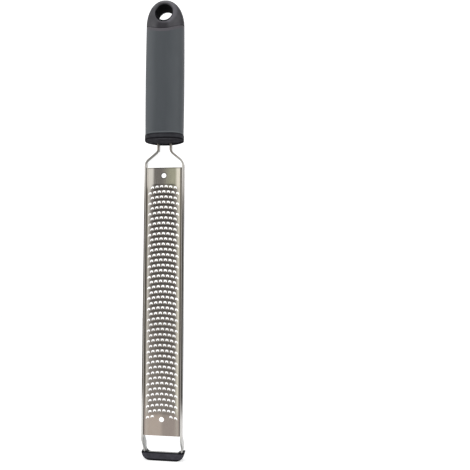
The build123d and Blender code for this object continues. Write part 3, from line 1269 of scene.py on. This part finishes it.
@dataclass
class EtchedBlade:
    """The etched sheet with its openings, raised teeth and folded edges. Sizes in millimetres."""

    pitch: float = 3.32
    row_pitch: float = 3.75
    rows: int = 44
    short_row: int = 6
    sag: float = 0.16
    top_z: float = -111.741
    length: float = 188.4
    first_drop: float = 13.6
    thickness: float = 0.6
    front: float = -1.0
    inner_half: float = 12.9
    bend_radius: float = 1.2
    flange: float = 3.2
    tooth_height: float = 0.5
    dot_radius: float = 1.75
    dot_cut: float = 6.0
    dot_points: int = 40
    upper_dot: float = 5.8
    lower_dot: float = 11.1
    near: float = 0.01
    end_steps: int = 5
    fold_steps: int = 6
    level_shares: tuple[float, ...] = (-0.5, -0.25, 0.0, 0.25, 0.5)

    @property
    def first_z(self) -> float:
        """Height of the first row."""
        return self.top_z - self.first_drop

    @property
    def last_z(self) -> float:
        """Height of the last row."""
        return self.first_z - (self.rows - 1) * self.row_pitch

    @property
    def end_z(self) -> float:
        """Height of the lower end."""
        return self.top_z - self.length

    @property
    def finish(self) -> EtchedSteel:
        """Finish whose bands of painted shade follow the rows."""
        return EtchedSteel(
            "etched_steel",
            first_z=self.first_z,
            last_z=self.last_z,
            row_pitch=self.row_pitch,
            pitch=self.pitch,
            sag=self.sag,
            dot_z=self.top_z - self.upper_dot,
            top_z=self.top_z,
        )

    def border(self) -> list[Point]:
        """Outline of one cell, from the middle of its lower side round to the right."""
        half = self.pitch / 2
        right = [(half, share * self.row_pitch) for share in self.level_shares]
        left = [(-x, z) for x, z in reversed(right)]
        ends = (0.0, -0.5 * self.row_pitch), (0.0, 0.5 * self.row_pitch)
        return [(x, self.front, z) for x, z in (ends[0], *right, ends[1], *left)]

    def open_cell(self) -> Piece:
        """Model one opening with its raised tooth and the sheet round it."""
        lift = self.tooth_height
        opening = [(0.0, 0.0, lift), (0.62, -0.5, 0.4 * lift), (1.08, -0.84, 0.0), (1.11, -0.1, 0.0)]
        opening += [(1.02, 0.5, 0.0), (0.6, 0.88, 0.0), (0.0, 0.97, 0.0)]
        collar = [(0.0, -1.1, 0.5 * lift), (0.7, -1.25, 0.12 * lift), (1.34, -1.25, 0.0), (1.4, -0.05, 0.0)]
        collar += [(1.24, 0.75, 0.0), (0.74, 1.25, 0.0), (0.0, 1.36, 0.0)]
        rings = []
        for half_ring in (opening, collar):
            ring = half_ring + [(-x, z, h) for x, z, h in reversed(half_ring[1:-1])]
            rings.append([(x, self.front - h, z) for x, z, h in ring])
        return loft("open_cell", [*rings, self.border()])

    def plain_cell(self, columns: int) -> Piece:
        """Model a cell, or half a cell, with no opening in it.

        Args:
            columns: 2 for a whole cell and 1 for half of one.

        Returns:
            The flat cell, centred on the place of its opening.
        """
        clear_selection()
        bpy.ops.mesh.primitive_grid_add(x_subdivisions=columns, y_subdivisions=4, size=1.0)
        cell = bpy.context.object
        cell.name = "plain_cell"
        width = self.pitch * columns / 2
        for vertex in cell.data.vertices:
            across, up = vertex.co.x * width, vertex.co.y * self.row_pitch
            vertex.co = Vector((across, self.front, up)) * MM
        return cell

    def copy_cell(self, cell: Piece, across: float, height: float) -> Piece:
        """Copy a cell to its place, with a mesh of its own.

        Args:
            cell: the model cell.
            across: place of its middle along X.
            height: place of its middle along Z.

        Returns:
            The copy.
        """
        made = cell.copy()
        made.data = cell.data.copy()
        bpy.context.collection.objects.link(made)
        shift = Vector((across, 0.0, height)) * MM
        for vertex in made.data.vertices:
            vertex.co += shift
        return made

    def lay_cells(self) -> Piece:
        """Lay all the cells in their rows and join them to one sheet."""
        opened, plain, half = self.open_cell(), self.plain_cell(2), self.plain_cell(1)
        cells = []
        for row in range(self.rows):
            height = self.first_z - row * self.row_pitch
            count = self.short_row + row % 2
            for index in range(count):
                step = index - (count - 1) / 2
                bare = row == self.rows - 1 and abs(step) < 1.5
                cells.append(self.copy_cell(plain if bare else opened, step * self.pitch, height))
            if count == self.short_row:
                for side in Side:
                    cells.append(self.copy_cell(half, side.value * (count / 2 + 0.25) * self.pitch, height))
        for model in (opened, plain, half):
            bpy.data.objects.remove(model)
        take(*cells)
        bpy.ops.object.join()
        sheet = bpy.context.object
        sheet.name = "etched_blade"
        face_outwards(sheet, reach=0.01)
        return sheet

    def draw_out(self, sheet: Piece, edge_z: float, end_z: float) -> None:
        """Draw out the upper or lower edge of the sheet in even steps.

        Args:
            sheet: the sheet.
            edge_z: height of the edge, in millimetres.
            end_z: height that it is drawn to.
        """
        up = math.copysign(1.0, end_z - edge_z)
        limit = (edge_z - up * self.near) * MM
        edit_where(sheet, lambda place: (place.z - limit) * up > 0)
        shift = (0, 0, (end_z - edge_z) / self.end_steps * MM)
        for _ in range(self.end_steps):
            bpy.ops.mesh.extrude_region_move(TRANSFORM_OT_translate={"value": shift})
        bpy.ops.object.mode_set(mode="OBJECT")

    def fold_side(self, sheet: Piece, side: Side) -> None:
        """Draw out one side of the sheet and fold it back along the rail.

        Args:
            sheet: the sheet.
            side: which side.
        """
        web_half = self.inner_half - self.bend_radius
        limit = max(abs(v.co.x) for v in sheet.data.vertices if v.co.x * side.value > 0)
        edit_where(sheet, lambda place: place.x * side.value > limit - self.near * MM)
        gap = side.value * (web_half * MM - limit)
        bpy.ops.mesh.extrude_region_move(TRANSFORM_OT_translate={"value": (gap, 0, 0)})
        centre = Vector((side.value * web_half, self.front + self.bend_radius, 0.0)) * MM
        angle = math.radians(-90.0) * side.value
        bpy.ops.mesh.spin(steps=self.fold_steps, angle=angle, center=centre, axis=(0, 0, 1))
        back = (self.flange - self.bend_radius) * MM
        bpy.ops.mesh.extrude_region_move(TRANSFORM_OT_translate={"value": (0, back, 0)})
        bpy.ops.object.mode_set(mode="OBJECT")

    def bow_rows(self, sheet: Piece) -> None:
        """Let the rows sag towards the sides, less and less towards the two ends of the sheet.

        Args:
            sheet: the sheet.
        """
        upper = self.first_z + self.row_pitch / 2
        lower = self.last_z - self.row_pitch / 2
        for vertex in sheet.data.vertices:
            height = vertex.co.z / MM
            from_top = (self.top_z - height) / (self.top_z - upper)
            from_end = (height - self.end_z) / (lower - self.end_z)
            share = min(from_top, from_end, 1.0)
            step = vertex.co.x / MM / self.pitch
            vertex.co.z -= self.sag * step**2 * max(share, 0.0) * MM

    def build(self) -> Piece:
        """Model the whole blade."""
        sheet = self.lay_cells()
        self.draw_out(sheet, self.first_z + self.row_pitch / 2, self.top_z)
        self.draw_out(sheet, self.last_z - self.row_pitch / 2, self.end_z)
        for side in Side:
            self.fold_side(sheet, side)
        self.bow_rows(sheet)
        face_outwards(sheet, reach=0.005)
        top_middle = Vector((0.0, self.front, self.top_z)) * MM
        nearest = min(sheet.data.polygons, key=lambda face: (face.center - top_middle).length)
        if nearest.normal.y > 0:
            sheet.data.flip_normals()
        wall = self.thickness * MM
        apply_modifier(sheet, "SOLIDIFY", thickness=wall, offset=-1.0, use_even_offset=True)
        for height in (self.top_z - self.upper_dot, self.end_z + self.lower_dot):
            clear_selection()
            bpy.ops.mesh.primitive_cylinder_add(
                vertices=self.dot_points,
                radius=self.dot_radius * MM,
                depth=self.dot_cut * MM,
                location=(0, self.front * MM, height * MM),
                rotation=(math.radians(90), 0, 0),
            )
            cut(sheet, bpy.context.object)
        return finish_piece(sheet, "rasp_blade", self.finish.build(), angle=35.0)


@dataclass
class TipFoot:
    """The soft foot over the crossbar. Sizes in millimetres."""

    grain: float = 0.22
    passes: int = 4
    lug_inside: float = 10.4
    lug_outside: float = 11.9
    lug_front: float = 6.2
    lug_back: float = 12.5
    lug_low_z: float = -314.9
    lug_high_z: float = -312.6
    lug_slope: float = 0.7
    lug_drop: float = 0.6
    lug_taper: float = 0.5
    lip_z: float = -313.44
    foot_z: float = -319.34

    def build_lug(self, side: Side) -> Piece:
        """Model the lug that grips the inner face of the strip, lower towards the middle.

        Args:
            side: which end of the foot.

        Returns:
            The closed lug, still to be joined to the foot.
        """
        inside, outside = side.value * self.lug_inside, side.value * self.lug_outside
        taper = side.value * self.lug_taper
        rings = []
        for depth, high_z in (
            (self.lug_front, self.lug_high_z),
            (self.lug_back, self.lug_high_z - self.lug_slope),
        ):
            ring = [
                (inside, depth, self.lug_low_z),
                (outside, depth, self.lug_low_z),
                (outside, depth, high_z),
                (inside + taper, depth, high_z - self.lug_drop),
            ]
            rings.append(ring)
        lug = loft("foot_lug", rings)
        close_ends(lug)
        return lug

    def build(self) -> Piece:
        """Model the foot on its solid, with its edges rounded as a mould rounds them."""
        solid = frame["nodes"]["tip_foot"]
        piece = solid.copy()
        piece.data = solid.data.copy()
        piece.name = "soft_foot"
        piece.parent = None
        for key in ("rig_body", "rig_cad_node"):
            del piece[key]
        bpy.context.collection.objects.link(piece)
        face_outwards(piece)
        lugs = [self.build_lug(side) for side in Side]
        take(piece, *lugs)
        bpy.ops.object.join()
        mould(piece, self.grain, self.passes)
        finish = FootRubber("foot_rubber", self.lip_z, self.foot_z)
        return finish_piece(piece, "tip_foot", finish.build(), angle=80.0)


@dataclass
class Studio:
    """Floor, backdrop, lamps and camera. Lengths in metres."""

    floor_z: float
    lens: float = 46.02
    shift: tuple[float, float] = (0.149, 0.0004)
    camera_place: Point = (0.06564, -0.42196, -0.18916)
    camera_turn: Point = (93.8734, -0.5716, 8.6645)

    def stage_surface(self, name: str, seen: float) -> Material:
        """Pale surface that looks white to the eye and in reflections.

        Args:
            name: the material's name.
            seen: light it adds of itself where it is seen.

        Returns:
            The material.
        """
        recipe = Recipe(bpy.data.materials.new(name))
        dust = recipe.noise(60.0)
        colour = recipe.blend(dust, (0.8, 0.8, 0.8), (0.82, 0.82, 0.82))
        matte = recipe.node("ShaderNodeBsdfDiffuse", {}, {"Color": colour})
        strength = recipe.looked_at() * seen
        glow = recipe.node("ShaderNodeEmission", {}, {"Color": (1, 1, 1, 1), "Strength": strength})
        both = recipe.node("ShaderNodeAddShader", {}, {0: matte, 1: glow})
        recipe.node("ShaderNodeOutputMaterial", {}, {"Surface": both})
        return recipe.owner

    def build_stage(self) -> None:
        """Lay the floor and stand the backdrop behind it."""
        for name, place, turn, seen in (
            ("floor", (0.0, 0.0, self.floor_z), 0.0, 0.62),
            ("backdrop", (0.0, 1.4, 0.0), 90.0, 0.75),
        ):
            clear_selection()
            bpy.ops.mesh.primitive_plane_add(size=6.0, location=place, rotation=(math.radians(turn), 0, 0))
            plane = bpy.context.object
            plane.name = name
            bpy.ops.object.transform_apply()
            plane.data.materials.append(self.stage_surface(name + "_paint", seen))
            plane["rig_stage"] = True

    def add_lamp(self, name: str, place: Point, size: float, power: float) -> None:
        """Hang one soft lamp that points at the middle of the tool.

        Args:
            name: its name.
            place: where it hangs.
            size: side of its square.
            power: watts.
        """
        bpy.ops.object.light_add(type="AREA", location=place)
        lamp = bpy.context.object
        lamp.name = name
        lamp.data.size = size
        lamp.data.energy = power
        aim = Vector((0.0, 0.0, -0.15)) - Vector(place)
        lamp.rotation_euler = aim.to_track_quat("-Z", "Y").to_euler()

    def build_light(self) -> None:
        """Set the lamps and the sky."""
        self.add_lamp("key_lamp", (-0.75, -0.9, 0.45), 1.0, 6.0)
        self.add_lamp("fill_lamp", (0.9, -0.8, 0.1), 1.0, 3.0)
        self.add_lamp("top_lamp", (0.0, 0.1, 0.9), 0.8, 2.5)
        recipe = Recipe(bpy.data.worlds.new("sky"))
        colour = recipe.blend(recipe.looked_at(), (0.42, 0.425, 0.43), (1.0, 1.0, 1.0))
        sky = recipe.node("ShaderNodeBackground", {}, {"Color": colour})
        recipe.node("ShaderNodeOutputWorld", {}, {"Surface": sky})
        bpy.context.scene.world = recipe.owner

    def build_camera(self) -> None:
        """Set the camera where the photograph was taken from."""
        bpy.ops.object.camera_add(
            location=self.camera_place, rotation=tuple(math.radians(a) for a in self.camera_turn)
        )
        camera = bpy.context.object
        camera.data.lens = self.lens
        camera.data.sensor_width = 36.0
        camera.data.shift_x, camera.data.shift_y = self.shift
        camera.data.clip_start = 0.01
        bpy.context.scene.camera = camera

    def build(self) -> None:
        """Set up the whole studio."""
        self.build_stage()
        self.build_light()
        self.build_camera()
        bpy.context.scene.view_settings.view_transform = "Standard"


def corners_of(box: Sequence[Sequence[float]]) -> list[list[float]]:
    """Turn a box into plain lists of numbers.

    Args:
        box: its lower and its upper corner.

    Returns:
        The same corners.
    """
    return [list(map(float, corner)) for corner in box]


def main() -> None:
    """Build every sub-assembly in order, set the floor under the solids and log the pieces."""
    logging.basicConfig(level=logging.INFO, format="%(message)s")
    solids = corners_of(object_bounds())
    Handle().build()
    StripFrame().build()
    EtchedBlade().build()
    TipFoot().build()
    Studio(floor_z=solids[0][2]).build()
    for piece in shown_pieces():
        log.info("piece %s", piece.name)


if __name__ == "__main__":
    main()
